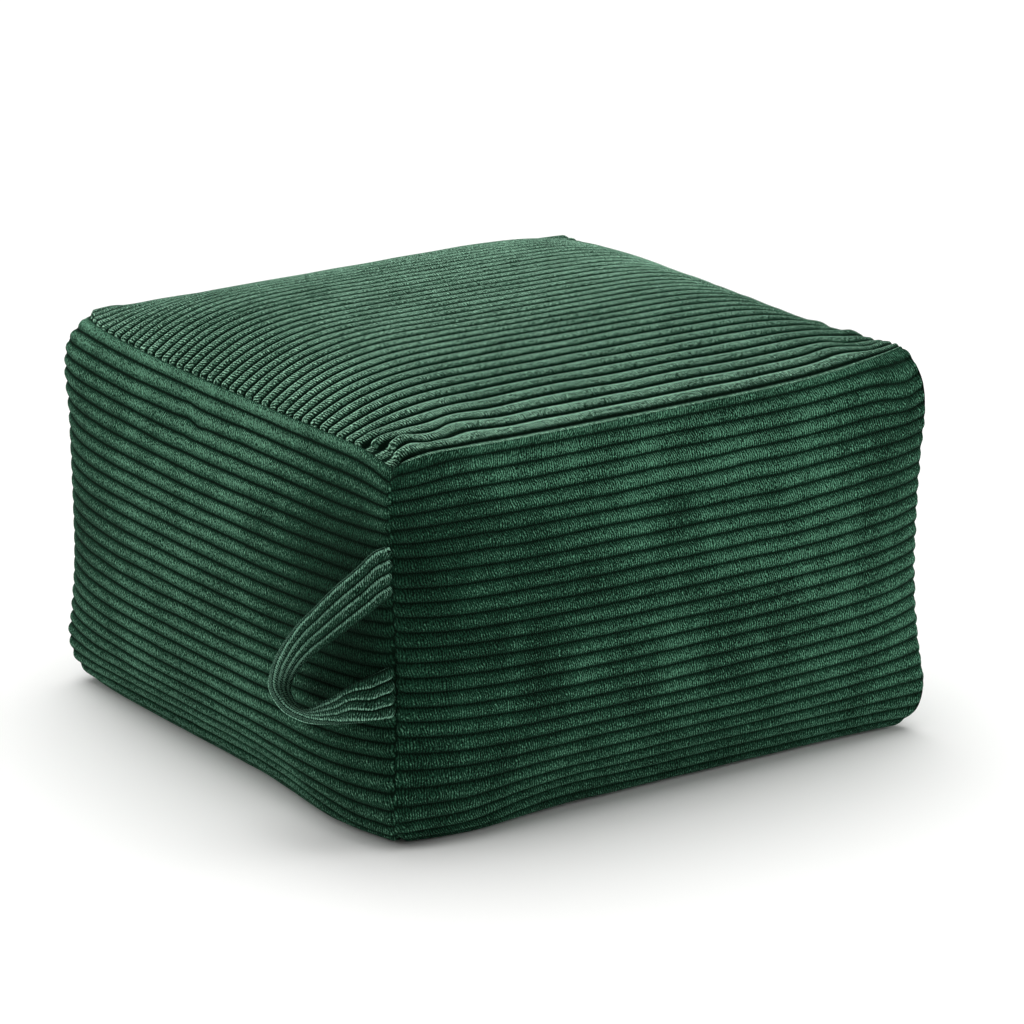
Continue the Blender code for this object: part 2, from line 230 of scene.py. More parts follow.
STRAP_STATIONS = 220
STRAP_RIB_POINTS = 10
STRAP_BACK = 10  # ribs between the cloth coordinates of its two faces
STRAP_THICKNESS = 0.0058
STRAP_END_THICKNESS = 0.0036
STRAP_RIBS = 4
STRAP_RIB_HEIGHT = 0.0018
STRAP_LOOSE = 0.012  # it is pressed flat this near its ends
STRAP_ROUND = 0.0040  # its ends close over this length
STRAP_SCALLOP = 0.0030
STRAP_PLEATS = ((0.86, 0.032, 0.36), (0.93, 0.022, -0.16))  # (share of the length, reach, ribs)

# The pile: fine strokes across each rib, tufts that break them, flecks, and broad brushed patches
PILE_PITCH = 0.0018
PILE_SLANT = 1.1  # of a stroke over one rib, in pitches
RIB_OFFSET = 7.0  # how far ribs are out of step, in pitches
STROKE_WANDER = 2.6  # in pitches
STROKES = 0.60
TUFTS = 3.2
TUFT_RATE = 1.9  # tufts in a pitch
RIM_BREAK = 0.35  # how much the pile breaks up the painted highlight along a rib
FLECKS = 3.0
MOTTLE = 1.5
MOTTLE_STRETCH = (1.0, 1.0, 0.6)  # brushed patches stand upright on the sides
WANDER_NOISE = (140.0, 2.0, 0.5)  # scale, detail, roughness
MOTTLE_NOISE = (26.0, 3.0, 0.6)
FLECK_NOISE = (900.0, 2.0, 0.7)
TUFT_NOISE = (1.0, 1.0, 0.5)

# The rounded rib ends: painted shade this near an upright seam, and how sharply it falls
SEAM_SHADE = 0.0050
END_LEVEL = 1.08
END_GAIN = 3.0

# The cloth's surface
BASE_TONE = 0.32  # the tone that has a cloth's middle colour
PILE_ROUGHNESS = 0.95
PILE_SHINE = 0.05
SHEEN_ROUGHNESS = 0.45
SHEEN_TINT = (0.45, 0.85, 0.62, 1.0)
BUMP_DEPTH = 0.0006
BUMP_STRENGTH = 0.7

# Painted shade, or painted light where the depth is below 0: (place, reach, depth). The first two paint shade
# in the corner's pit and inside the strap's loop; each cloth's list paints soft light and shade where the
# lamps fall, such as shade down the front seam and light over the back of the top.
PAINTED_SHADE_PLACES = (
    ((-0.2285, -0.2234, 0.2803), 0.0125, 0.92),
    ((-0.2430, -0.1950, 0.1400), 0.038, 0.45),
)
LEFT_PAINTED_SHADING = (
    ((-0.225, -0.225, 0.120), 0.150, 0.46), ((-0.240, -0.180, 0.200), 0.075, 0.55),
    ((-0.235, 0.225, 0.145), 0.120, 0.44), ((-0.240, -0.050, 0.275), 0.045, -0.15),
)
FRONT_PAINTED_SHADING = (
    ((-0.225, -0.225, 0.120), 0.150, 0.34), ((-0.240, -0.200, 0.245), 0.085, 0.48),
    ((0.235, -0.235, 0.290), 0.090, 0.42), ((0.080, -0.240, 0.035), 0.080, 0.16),
    ((0.120, -0.250, 0.145), 0.080, -0.22),
)
TOP_PAINTED_SHADING = (
    ((-0.230, -0.180, 0.290), 0.070, 0.18), ((0.235, -0.170, 0.300), 0.130, 0.38),
    ((0.020, -0.170, 0.320), 0.100, 0.10), ((-0.230, 0.020, 0.300), 0.110, 0.28),
    ((0.060, 0.150, 0.330), 0.190, -0.32), ((0.175, 0.010, 0.320), 0.080, -0.34),
    ((-0.125, -0.030, 0.330), 0.070, -0.20), ((-0.090, -0.150, 0.325), 0.050, 0.18),
)
# Painted light on the bend of the strap.
STRAP_PAINTED_LIGHT = (((-0.272, -0.155, 0.120), 0.045, -0.50),)

PROFILE_STEPS = 120
SMALL = 1e-3  # a step along a panel for its normals

FLOOR_SIZE = 40.0
FLOOR_COLOUR = (0.93, 0.93, 0.92)
FLOOR_ROUGHNESS = 0.9

# The light: softboxes as (name, place, size, power), wide lamps as (name, place, spread, power)
WORLD_LIGHT = 0.26
WORLD_COLOUR = (1.0, 1.0, 0.99, 1.0)
SOFTBOX_AIM = (0.0, 0.0, 0.15)
SKY_AIM = (0.0, 0.0, 0.0)
SOFTBOXES = (
    ("softbox_left", (-1.45, 0.45, 0.75), 0.9, 4.5),
    ("softbox_right", (1.15, -0.85, 0.38), 0.7, 5.5),
)
SKY_LIGHTS = (
    ("overhead", (0.25, 0.8, 3.0), 75.0, 2.9),
)


# Shapes

def cloth_profile(leans, length):
    """A side's upright section: shares of its cloth, and how far out and how high each one lies."""
    share = np.linspace(0.0, 1.0, PROFILE_STEPS + 1)
    places, angles = zip(*leans)
    lean = np.radians(np.interp(share, places, angles))
    step = length / PROFILE_STEPS
    rise = np.cos(lean) * step
    run = np.sin(lean) * step
    height = np.concatenate([[0.0], np.cumsum((rise[1:] + rise[:-1]) / 2)])
    outward = np.concatenate([[0.0], np.cumsum((run[1:] + run[:-1]) / 2)])
    return share, outward - outward.max(), height


MIDDLE_PROFILE = cloth_profile(MIDDLE_LEAN, MIDDLE_CLOTH)
CORNER_PROFILE = cloth_profile(CORNER_LEAN, CORNER_CLOTH)


def at_height(profile, share):
    return np.interp(share, profile[0], profile[1]), np.interp(share, profile[0], profile[2])


def fullness(across, share):
    """How far the cloth fills out between the seams, where across is -1 and 1."""
    place = np.abs(across)
    near_base = np.clip(1 - share / END_ZONE, 0.0, 1.0) ** 2
    near_top = np.clip(1 - (1 - share) / END_ZONE, 0.0, 1.0) ** 2
    tight_share = TIGHT_SHARE + TIGHT_AT_BASE * near_base + TIGHT_AT_TOP * near_top
    return tight_share * (1.0 - place**TIGHT_POWER) + (1.0 - tight_share) * (1.0 - place**SOFT_POWER)


def corner_points(name, share):
    signs, top_shift, base_shift, lift = CORNERS[name]
    outward, height = at_height(CORNER_PROFILE, share)
    reach = SEAM_SPAN / 2 + outward
    x = signs[0] * reach + top_shift[0] * share + base_shift[0] * (1 - share)
    y = signs[1] * reach + top_shift[1] * share + base_shift[1] * (1 - share)
    return np.stack([x, y, height + lift * share], axis=-1)


def side_points(side, across, share):
    first, last, outward_way, top_out, base_out, lift = SIDES[side]
    outward_way = np.array([*outward_way, 0.0])
    step = ((across + 1) / 2)[:, None]
    chord = corner_points(first, share) * (1 - step) + corner_points(last, share) * step
    outward, height = at_height(MIDDLE_PROFILE, share)
    reach = SEAM_SPAN / 2 + SIDE_BULGE + outward + top_out * share + base_out * (1 - share)
    full = fullness(across, share)
    points = chord + outward_way * (full * (reach - chord @ outward_way))[:, None]
    points[:, 2] = chord[:, 2] * (1 - full) + (height + lift * share) * full
    return points


def top_points(along, back):
    """Points of the top, spanned between its four edges and crowned by the filling."""
    top = np.ones_like(along)
    front_edge = side_points("front", 2 * along - 1, top)
    back_edge = side_points("back", 1 - 2 * along, top)
    left_edge = side_points("left", 1 - 2 * back, top)
    right_edge = side_points("right", 2 * back - 1, top)
    one = np.ones(1)
    front_left, front_right, back_right, back_left = (corner_points(name, one)[0] for name in CORNERS)
    s = along[:, None]
    v = back[:, None]
    between_edges = (1 - v) * front_edge + v * back_edge + (1 - s) * left_edge + s * right_edge
    between_corners = (
        (1 - s) * (1 - v) * front_left
        + s * (1 - v) * front_right
        + s * v * back_right
        + (1 - s) * v * back_left
    )
    points = between_edges - between_corners
    crown_x = 1 - np.abs(2 * along - 1) ** CROWN_POWER_X
    crown_y = 1 - np.abs(2 * back - 1) ** CROWN_POWER_Y
    points[:, 2] += CROWN * crown_x * crown_y
    return points


def soft_push(points):
    push = np.zeros_like(points)
    for middle, reach, way in (*SOFT_PLACES.values(), *DRAWN_PLACES):
        distance = np.linalg.norm(points - np.array(middle), axis=1)
        push += np.exp(-((distance / reach) ** 2))[:, None] * np.array(way)
    return push


def plain_surface(panel, a, b):
    """Points of a panel's plain surface, with the soft places: a along the ribs, b across."""
    points = top_points(a, b) if panel == "top" else side_points(panel, a, b)
    return points + soft_push(points)


def normals_of(panel, a, b):
    low = 0.0 if panel == "top" else -1.0
    a_more, a_less = np.minimum(a + SMALL, 1.0), np.maximum(a - SMALL, low)
    b_more, b_less = np.minimum(b + SMALL, 1.0), np.maximum(b - SMALL, 0.0)
    du = plain_surface(panel, a_more, b) - plain_surface(panel, a_less, b)
    dv = plain_surface(panel, a, b_more) - plain_surface(panel, a, b_less)
    cross = np.cross(du, dv)
    return cross / np.linalg.norm(cross, axis=1)[:, None]


# Soft noise that repeats exactly

def hashed(i, j, seed):
    value = np.sin(i * 127.1 + j * 311.7 + seed * 74.7) * 43758.5453
    return value - np.floor(value)


def noise(x, y, seed):
    """Smooth noise from -1 to 1."""
    i, j = np.floor(x), np.floor(y)
    fx, fy = x - i, y - j
    sx, sy = fx * fx * (3 - 2 * fx), fy * fy * (3 - 2 * fy)
    low = hashed(i, j, seed) * (1 - sx) + hashed(i + 1, j, seed) * sx
    high = hashed(i, j + 1, seed) * (1 - sx) + hashed(i + 1, j + 1, seed) * sx
    return (low * (1 - sy) + high * sy) * 2 - 1


# Making meshes

def grid_mesh(name, points, rows, columns, uv, flip=False):
    """A sheet of rows by columns points, with its cloth coordinates (metres along, ribs across)."""
    index = np.arange(rows * columns).reshape(rows, columns)
    quads = np.stack([index[:-1, :-1], index[:-1, 1:], index[1:, 1:], index[1:, :-1]], axis=-1).reshape(-1, 4)
    if flip:
        quads = quads[:, ::-1]
    mesh = bpy.data.meshes.new(name)
    mesh.vertices.add(len(points))
    mesh.vertices.foreach_set("co", points.astype(np.float32).ravel())
    mesh.loops.add(quads.size)
    mesh.loops.foreach_set("vertex_index", quads.ravel().astype(np.int32))
    mesh.polygons.add(len(quads))
    mesh.polygons.foreach_set("loop_start", np.arange(0, quads.size, 4, dtype=np.int32))
    mesh.polygons.foreach_set("use_smooth", np.ones(len(quads), dtype=bool))
    layer = mesh.uv_layers.new(name="cloth")
    layer.data.foreach_set("uv", uv[quads.ravel()].astype(np.float32).ravel())
    mesh.update(calc_edges=True)
    mesh.validate()
    made = bpy.data.objects.new(name, mesh)
    bpy.context.scene.collection.objects.link(made)
    return made


def rib_profile(place, end, round_edge, kind):
    """Height over the plain surface: place is from -0.5 to 0.5 over a rib, whose rounded end is at end 1.

    round_edge is 0 on a seam that runs along the rib.
    """
    flatness, crest, groove = RIB_FLATNESS[kind], RIB_CREST[kind], RIB_GROOVE[kind]
    outward = np.clip(np.abs(2 * place) ** flatness[0] + end ** flatness[0], 0, 1)
    ribbed = groove * (1 - end) + (crest - groove) * (1 - outward) ** flatness[1] - SEAM_DROP * end**3
    return ribbed * round_edge - SEAM_DROP * (1 - round_edge)


def seam_columns(count, close):
    """Places from 0 to 1 across a panel, closer together near both seams."""
    first, last, gap = CLOSE_COLUMNS
    near = np.concatenate([SEAM_COLUMNS, np.linspace(first, last, close)]) / SEAM_SPAN
    middle = np.linspace(near[-1] + gap, 1 - near[-1] - gap, count)
    return np.concatenate([near, middle, 1 - near[::-1]])


def rib_lines(first, last):
    """Every row's rib coordinate between two edges: whole numbers are grooves."""
    rows = []
    for rib in range(int(math.floor(first)), int(math.ceil(last)) + 1):
        rows += [rib + 0.5 + step for step in RIB_STEPS]
    rows = np.array([row for row in rows if first + LEAST_STEP < row < last - LEAST_STEP])
    return np.concatenate([[first], rows, [last]])


def eased(value):
    """From 0 to 1, level at both ends."""
    value = np.clip(value, 0.0, 1.0)
    return value * value * (3 - 2 * value)


def rounded(value):
    """From 0 to 1 along a quarter of a circle, level at 1."""
    return np.sqrt(1 - (1 - np.clip(value, 0, 1)) ** 2)


def nearness(along, ribs, middle, rib, reach, rib_reach):
    """1 at a place on a panel, fading to 0 around it."""
    return np.exp(-(((along - middle) / reach) ** 2) - ((ribs - rib) / rib_reach) ** 2)


def front_edge_normals(along):
    """Normals halfway between the normals of the front and the top on their common seam."""
    one = np.ones_like(along)
    both = normals_of("front", 2 * along - 1, one) + normals_of("top", along, np.zeros_like(along))
    return both / np.linalg.norm(both, axis=1)[:, None]


def rib_shifts(panel, along, ribs, edge, seed):
    """How far the ribs are moved across a panel, in ribs: they wander, and crowd towards corners."""
    length, rate = SWAY_SCALE
    fine_length, fine_rate = FINE_SWAY_SCALE
    sway = noise(along / length + seed, ribs * rate, seed)
    sway = sway + FINE_SWAY * noise(along / fine_length, ribs * fine_rate, seed + 3)
    shift = sway * SWAY["top" if panel == "top" else "side"] * np.clip(edge / (CALM_RIBS * RIB_PITCH), 0, 1)
    for middle, rib, reach, rib_reach, amount in WAVES[panel]:
        near = nearness(along, ribs, middle, rib, reach, rib_reach)
        shift += amount * near * np.clip(edge / RIB_PITCH, 0, 1)
    for middle, rib, reach, rib_reach, amount in GATHERS[panel]:
        shift -= amount * (ribs - rib) * nearness(along, ribs, middle, rib, reach, rib_reach)
    return shift


def left_roll(place, below, round_side):
    """The roll along the left panel's top seam, from 0 to 1. below is how many ribs down a point lies."""
    roll = rounded(below / ROLL_TOP) * np.exp(-((below / ROLL_FADE) ** 2)) * round_side
    return roll * np.sin(np.clip(np.minimum(place, 1 - place) / ROLL_TAPER, 0, 1) * math.pi / 2)


def dressed_panel(panel, first, last):
    """One ribbed panel, whose rib coordinate runs from first to last, from its lower or front edge."""
    kind = "top" if panel == "top" else "side"
    count, close, seed = PANEL_GRIDS[panel]
    columns = seam_columns(count, close)
    rows = rib_lines(first, last)
    place, ribs = (grid.ravel() for grid in np.meshgrid(columns, rows))
    across = place if panel == "top" else place * 2 - 1
    along = place * SEAM_SPAN
    back = (ribs - first) / (last - first)
    edge = np.minimum(back, 1 - back) * (last - first) * RIB_PITCH
    shift = rib_shifts(panel, along, ribs, edge, seed)
    back = np.clip(back + shift / (last - first), 0.0, 1.0)
    plain = plain_surface(panel, across, back)
    normal = normals_of(panel, across, back)

    # The front's and the top's common edge lies under the rib that wraps round it
    drop_edge = edge
    on_edge = np.zeros_like(back)
    if panel in ("front", "top"):
        from_edge = (ribs - first if panel == "top" else last - ribs) * RIB_PITCH
        far_edge = (last - ribs if panel == "top" else ribs - first) * RIB_PITCH
        drop_edge = np.maximum(far_edge, 0.0)
        turn = eased(1 - from_edge / (WRAP_TURN * RIB_PITCH))[:, None]
        on_edge = eased(1 - from_edge / (WRAP_REACH * RIB_PITCH))
        normal = normal * (1 - turn) + front_edge_normals(place) * turn
        normal /= np.linalg.norm(normal, axis=1)[:, None]

    # Each rib ends at its own distance from the upright seam
    lobe = RIB_END_LEAST + RIB_END_VARIES * hashed(np.floor(ribs), np.floor(place * 2), seed + 9)
    from_seam = np.minimum(place, 1 - place) * SEAM_SPAN
    if panel == "top":
        for rib, start in SHORT_RIBS:
            from_seam = np.where((np.floor(ribs) == rib) & (place < 0.5), from_seam - start, from_seam)
    side_end = 1 - np.clip(from_seam / (RIB_END[kind] * lobe), 0, 1)
    round_side = np.sqrt(1 - side_end**2)
    round_edge = rounded(edge / (RIB_PITCH * 0.5))
    on_rib = ribs - np.floor(ribs) - 0.5
    height = rib_profile(on_rib, side_end, rounded(drop_edge / (RIB_PITCH * 0.5)), kind)
    height += on_edge * (WRAP_HEIGHT * (1 - side_end) - SEAM_DROP * side_end**3 - height)
    length, rate = UNEVEN_SCALE
    height += UNEVEN * noise(along / length, ribs * rate, seed + 5) * round_side * round_edge
    for middle, rib, reach, rib_reach, amount in BUDS[panel]:
        height += amount * nearness(along, ribs, middle, rib, reach, rib_reach) * round_edge
    points = plain + normal * height[:, None]
    if panel == "left":
        roll = left_roll(place, last - ribs, round_side)
        points[:, 2] += ROLL_RISE * roll
        points += normal * (ROLL_SWELL * roll)[:, None]
    points[:, 2] = np.maximum(points[:, 2], FLOOR_GAP)
    return grid_mesh(panel + "_panel", points, len(rows), len(columns), np.stack([along, ribs], axis=1))


def top_length():
    """The cloth over the middle of the top, from front to back."""
    back = np.linspace(0.0, 1.0, PROFILE_STEPS + 1)
    middle = top_points(np.full_like(back, 0.5), back)
    return np.linalg.norm(np.diff(middle, axis=0), axis=1).sum()


# Materials

def link(tree, a, b):
    tree.links.new(a, b)


def math_node(tree, operation, *values):
    """The result of a Math node on numbers and sockets."""
    node = tree.nodes.new("ShaderNodeMath")
    node.operation = operation
    for i, value in enumerate(values):
        if isinstance(value, (int, float)):
            node.inputs[i].default_value = value
        else:
            link(tree, value, node.inputs[i])
    return node.outputs[0]


def vector_node(tree, operation, vector, other):
    """A Vector Math node on a socket and a fixed vector or another socket."""
    node = tree.nodes.new("ShaderNodeVectorMath")
    node.operation = operation
    link(tree, vector, node.inputs[0])
    if isinstance(other, tuple):
        node.inputs[1].default_value = other
    else:
        link(tree, other, node.inputs[1])
    return node


def noise_node(tree, coordinates, scale, detail, rough):
    node = tree.nodes.new("ShaderNodeTexNoise")
    node.inputs["Scale"].default_value = scale
    node.inputs["Detail"].default_value = detail
    node.inputs["Roughness"].default_value = rough
    link(tree, coordinates, node.inputs["Vector"])
    return node.outputs["Fac"]


def ramp_node(tree, value, stops):
    """A colour ramp: stops are (position, colour)."""
    node = tree.nodes.new("ShaderNodeValToRGB")
    node.color_ramp.interpolation = "EASE"
    elements = node.color_ramp.elements
    elements[0].position, elements[0].color = stops[0]
    elements[1].position, elements[1].color = stops[-1]
    for position, colour in stops[1:-1]:
        elements.new(position).color = colour
    link(tree, value, node.inputs["Fac"])
    return node.outputs["Color"]


def grey(value):
    return (value, value, value, 1.0)


def pile_of(tree, along, ribs, where, strokes, cells):
    """The height and tone of the pile around 0: strokes, broken by tufts, and flecks."""

    def calc(operation, *values):
        return math_node(tree, operation, *values)

    rib_noise = tree.nodes.new("ShaderNodeTexWhiteNoise")
    rib_noise.noise_dimensions = "1D"
    link(tree, calc("FLOOR", ribs), rib_noise.inputs["W"])
    wander = noise_node(tree, where, *WANDER_NOISE)
    flecks = noise_node(tree, where, *FLECK_NOISE)
    slant = calc("MULTIPLY", calc("FRACT", ribs), PILE_SLANT)
    course = calc("ADD", calc("DIVIDE", along, PILE_PITCH), slant)
    course = calc("ADD", course, calc("MULTIPLY", rib_noise.outputs["Value"], RIB_OFFSET))
    course = calc("ADD", course, calc("MULTIPLY", wander, STROKE_WANDER))
    stroke = calc("SINE", calc("MULTIPLY", course, 2 * math.pi))
    tuft_place = tree.nodes.new("ShaderNodeCombineXYZ")
    link(tree, calc("MULTIPLY", course, TUFT_RATE), tuft_place.inputs["X"])
    link(tree, calc("MULTIPLY", ribs, cells), tuft_place.inputs["Y"])
    tufts = noise_node(tree, tuft_place.outputs[0], *TUFT_NOISE)
    stroke = calc("MULTIPLY", stroke, calc("MULTIPLY", tufts, 2.0))
    pile = calc("MULTIPLY", stroke, STROKES * strokes)
    pile = calc("ADD", pile, calc("MULTIPLY", calc("SUBTRACT", tufts, 0.5), TUFTS * strokes))
    return calc("ADD", pile, calc("MULTIPLY", calc("SUBTRACT", flecks, 0.5), FLECKS * strokes))


def painted_end_shade(tree, along, share):
    """Painted shade: 1 along a rib, falling to 0 round its end at each upright seam, and sooner on its
    flanks.
    """

    def calc(operation, *values):
        return math_node(tree, operation, *values)

    from_seam = calc("MINIMUM", along, calc("SUBTRACT", SEAM_SPAN, along))
    into_end = calc("SUBTRACT", 1.0, calc("DIVIDE", calc("MAXIMUM", from_seam, 0.0), SEAM_SHADE))
    into_end = calc("POWER", calc("MAXIMUM", into_end, 0.0), 2.0)
    off_crest = calc("ABSOLUTE", calc("SUBTRACT", calc("MULTIPLY", share, 2.0), 1.0))
    off_crest = calc("POWER", off_crest, 2.0)
    lost = calc("ADD", into_end, calc("MULTIPLY", off_crest, into_end))
    rounding = calc("MULTIPLY", calc("SUBTRACT", END_LEVEL, lost), END_GAIN)
    return calc("MINIMUM", calc("MAXIMUM", rounding, 0.0), 1.0)


def corduroy(name, across, rim, colours, sheen, strokes, cells, painted_shading, edges=(), ends=True, mottled=1.0):
    """Ribbed pile cloth.

    across gives the tone over one rib, from one groove to the next: painted shade in the grooves and painted
    light on the ribs. rim gives a finer painted highlight over it. strokes is how strong the pile's strokes
    are, and cells how often they are broken over one rib. shades are its places of painted shade and painted
    light. Each edge is a rib, a reach in ribs, and how much painted light it gets there, or painted shade
    where below 0. Where it has ends, shade is painted round each rib's ends at the upright seams. mottled is
    how strong its brushed patches are.
    """
    material = bpy.data.materials.new(name)
    material.use_nodes = True
    tree = material.node_tree
    shader = tree.nodes["Principled BSDF"]

    def calc(operation, *values):
        return math_node(tree, operation, *values)

    uv = tree.nodes.new("ShaderNodeUVMap")
    uv.uv_map = "cloth"
    split = tree.nodes.new("ShaderNodeSeparateXYZ")
    link(tree, uv.outputs["UV"], split.inputs[0])
    along, ribs = split.outputs["X"], split.outputs["Y"]
    share = calc("FRACT", ribs)
    where = tree.nodes.new("ShaderNodeTexCoord").outputs["Object"]
    pile = pile_of(tree, along, ribs, where, strokes, cells)
    stretched = vector_node(tree, "MULTIPLY", where, MOTTLE_STRETCH)
    broad = noise_node(tree, stretched.outputs[0], *MOTTLE_NOISE)
    mottle = calc("MULTIPLY", calc("SUBTRACT", broad, 0.5), MOTTLE * mottled)
    # The painted shade and light over one rib.
    profile = ramp_node(tree, share, [(position, grey(value)) for position, value in across])
    tone = calc("ADD", calc("ADD", pile, mottle), 1.0)
    tone = calc("MULTIPLY", tone, profile)
    # A finer painted highlight along each rib, broken up by the pile.
    if rim:
        line = ramp_node(tree, share, [(position, grey(value)) for position, value in rim])
        line = calc("MULTIPLY", line, calc("ADD", 1.0, calc("MULTIPLY", pile, RIM_BREAK)))
        tone = calc("ADD", calc("MAXIMUM", tone, 0.0), calc("MAXIMUM", line, 0.0))
    # Painted light along the ribs near an edge, or painted shade where the amount is below 0.
    for edge_rib, reach, amount in edges:
        apart = calc("DIVIDE", calc("SUBTRACT", ribs, edge_rib), reach)
        near = calc("EXPONENT", calc("MULTIPLY", calc("MULTIPLY", apart, apart), -1.0))
        tone = calc("MULTIPLY", tone, calc("ADD", 1.0, calc("MULTIPLY", near, amount)))
    # Painted shade, or painted light where the depth is below 0, around places on the object.
    for place, reach, depth in PAINTED_SHADE_PLACES + painted_shading:
        apart = vector_node(tree, "SUBTRACT", where, place).outputs[0]
        squared = vector_node(tree, "DOT_PRODUCT", apart, apart).outputs["Value"]
        near = calc("EXPONENT", calc("MULTIPLY", squared, -1.0 / reach**2))
        tone = calc("MULTIPLY", tone, calc("SUBTRACT", 1.0, calc("MULTIPLY", near, depth)))
    # Painted shade round each rib's ends at the upright seams, darkest on their flanks.
    if ends:
        tone = calc("MULTIPLY", tone, painted_end_shade(tree, along, share))
    clean = tree.nodes.new("ShaderNodeClamp")
    link(tree, tone, clean.inputs["Value"])
    deep, base, light = colours
    colour = ramp_node(tree, clean.outputs[0], [(0.0, deep), (BASE_TONE, base), (1.0, light)])
    link(tree, colour, shader.inputs["Base Color"])
    shader.inputs["Roughness"].default_value = PILE_ROUGHNESS
    shader.inputs["Specular IOR Level"].default_value = PILE_SHINE
    shader.inputs["Sheen Weight"].default_value = sheen
    shader.inputs["Sheen Roughness"].default_value = SHEEN_ROUGHNESS
    shader.inputs["Sheen Tint"].default_value = SHEEN_TINT
    bump = tree.nodes.new("ShaderNodeBump")
    bump.inputs["Distance"].default_value = BUMP_DEPTH
    bump.inputs["Strength"].default_value = BUMP_STRENGTH
    link(tree, pile, bump.inputs["Height"])
    link(tree, bump.outputs["Normal"], shader.inputs["Normal"])
    return material


# The pouf

# The tone over one rib, from its lower or front groove (0) to its upper or back one (1): painted shade in the
# grooves and painted light where each rib faces the light. The rims are painted highlights along a rib.
FRONT_TONES = (
    (0.00, 0.05), (0.05, 0.11), (0.12, 0.27), (0.26, 0.39), (0.42, 0.45),
    (0.56, 0.41), (0.72, 0.34), (0.86, 0.26), (0.95, 0.12), (1.00, 0.05),
)
LEFT_TONES = (
    (0.00, 0.00), (0.06, 0.06), (0.12, 0.24), (0.22, 0.32), (0.36, 0.37), (0.45, 0.46),
    (0.54, 0.52), (0.66, 0.45), (0.80, 0.37), (0.89, 0.22), (0.96, 0.04), (1.00, 0.00),
)
TOP_TONES = (
    (0.00, 0.00), (0.10, 0.00), (0.18, 0.17), (0.27, 0.35), (0.46, 0.39), (0.62, 0.40),
    (0.80, 0.32), (0.91, 0.07), (1.00, 0.00),
)
TOP_PAINTED_RIM = (
    (0.00, 0.00), (0.60, 0.00), (0.66, 0.30), (0.71, 0.62), (0.78, 0.62), (0.83, 0.25), (0.88, 0.00),
    (1.00, 0.00),
)
STRAP_TONES = (
    (0.00, 0.00), (0.07, 0.05), (0.17, 0.17), (0.36, 0.25), (0.60, 0.29), (0.82, 0.31),
    (0.93, 0.14), (1.00, 0.00),
)
STRAP_PAINTED_RIM = (
    (0.00, 0.00), (0.68, 0.00), (0.78, 0.32), (0.86, 0.62), (0.92, 0.40), (0.97, 0.00), (1.00, 0.00),
)

# The colours of each cloth in its grooves, in the middle and where the pile catches the light. The cloths are
# lit and shaded copies of one green corduroy: the top's colours are painted much lighter than the sides', and
# the left's a little lighter than the front's.
FRONT_COLOURS = ((0.0009, 0.0080, 0.0034, 1.0), (0.0104, 0.053, 0.0285, 1.0), (0.140, 0.370, 0.235, 1.0))
LEFT_COLOURS = ((0.0011, 0.0085, 0.0038, 1.0), (0.0152, 0.064, 0.0355, 1.0), (0.190, 0.440, 0.290, 1.0))
TOP_COLOURS = ((0.0012, 0.0100, 0.0045, 1.0), (0.052, 0.142, 0.088, 1.0), (0.420, 0.760, 0.550, 1.0))
STRAP_COLOURS = ((0.0008, 0.0070, 0.0030, 1.0), (0.015, 0.061, 0.035, 1.0), (0.290, 0.580, 0.420, 1.0))

TOP_RIBS = top_length() / RIB_PITCH
TOP_FIRST = 1.0 - FIRST_TOP_GROOVE
FRONT_PHASE = -0.4  # the front's ribs sit this much lower than the left panel's, in ribs

# The edges paint light on the upper ribs of the sides and the front, and paint shade along the front's top
# rib and the top's front edge.
side_cloth = corduroy(
    "corduroy_side", LEFT_TONES, None, LEFT_COLOURS, sheen=0.03, strokes=1.30, cells=6.0,
    painted_shading=LEFT_PAINTED_SHADING, edges=((RIBS_PER_SIDE, 5.0, 0.12), (26.4, 0.6, 0.16)),
)
front_cloth = corduroy(
    "corduroy_front", FRONT_TONES, None, FRONT_COLOURS, sheen=0.05, strokes=1.30, cells=6.0,
    painted_shading=FRONT_PAINTED_SHADING, edges=((24.6, 2.6, 0.30), (26.8, 0.7, -0.12)), mottled=1.5,
)
top_cloth = corduroy(
    "corduroy_top", TOP_TONES, TOP_PAINTED_RIM, TOP_COLOURS, sheen=0.05, strokes=2.0, cells=6.5,
    painted_shading=TOP_PAINTED_SHADING, edges=((2.0, 1.2, 0.08), (TOP_FIRST, 0.45, -0.50)),
)
strap_cloth = corduroy(
    "corduroy_strap", STRAP_TONES, STRAP_PAINTED_RIM, STRAP_COLOURS, sheen=0.04, strokes=1.4, cells=4.0,
    painted_shading=STRAP_PAINTED_LIGHT, ends=False,
)

made = {
    "front_panel": dressed_panel("front", FRONT_PHASE, RIBS_PER_SIDE + FRONT_PHASE),
    "left_panel": dressed_panel("left", 0.0, RIBS_PER_SIDE),
    "right_panel": dressed_panel("right", 0.0, RIBS_PER_SIDE),
    "back_panel": dressed_panel("back", 0.0, RIBS_PER_SIDE),
    "top_panel": dressed_panel("top", TOP_FIRST, TOP_FIRST + TOP_RIBS),
}


def base_panel():
    """The flat base: rings from the base seam in to the middle."""
    places = np.linspace(-1, 1, BASE_POINTS + 1)[:-1]
    ring = np.concatenate([plain_surface(side, places, np.zeros_like(places)) for side in SIDES])
    closed = np.vstack([ring, ring[:1]])
    points = np.concatenate([closed * step for step in BASE_RINGS])
    points[:, 2] = BASE_HEIGHT
    uv = np.stack([points[:, 0] + BASE_OFFSET, points[:, 1] / RIB_PITCH], axis=1)
    return grid_mesh("base_panel", points, len(BASE_RINGS), len(closed), uv, flip=True)


made["base_panel"] = base_panel()


